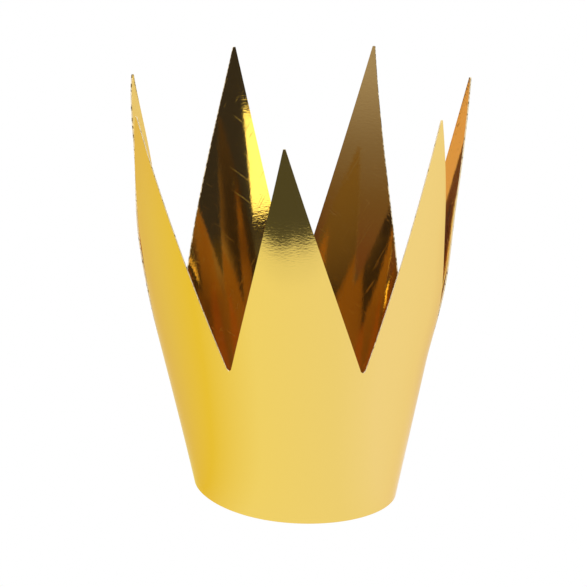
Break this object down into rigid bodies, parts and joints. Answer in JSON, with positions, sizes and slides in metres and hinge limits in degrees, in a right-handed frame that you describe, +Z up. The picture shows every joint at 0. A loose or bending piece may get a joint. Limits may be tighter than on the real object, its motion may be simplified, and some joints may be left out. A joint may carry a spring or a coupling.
{
  "type": "paper party crown",
  "caption": "Small gold party crown cut from one sheet of metallised card, rolled into a flaring cone with tall pointed peaks.",
  "frame": {"origin": "middle of the crown's outer box, on the plane of its rim", "axes": "+Z up, from the rim towards the points; +Y towards the back, so that the front point faces -Y; +X towards the right as seen from the front"},
  "size_m": [0.0818, 0.0968, 0.1],
  "materials": {
    "gold_card": "satin"
  },
  "bodies": {
    "root": {"crown_sheet": "gold_card"}
  },
  "joints": []
}
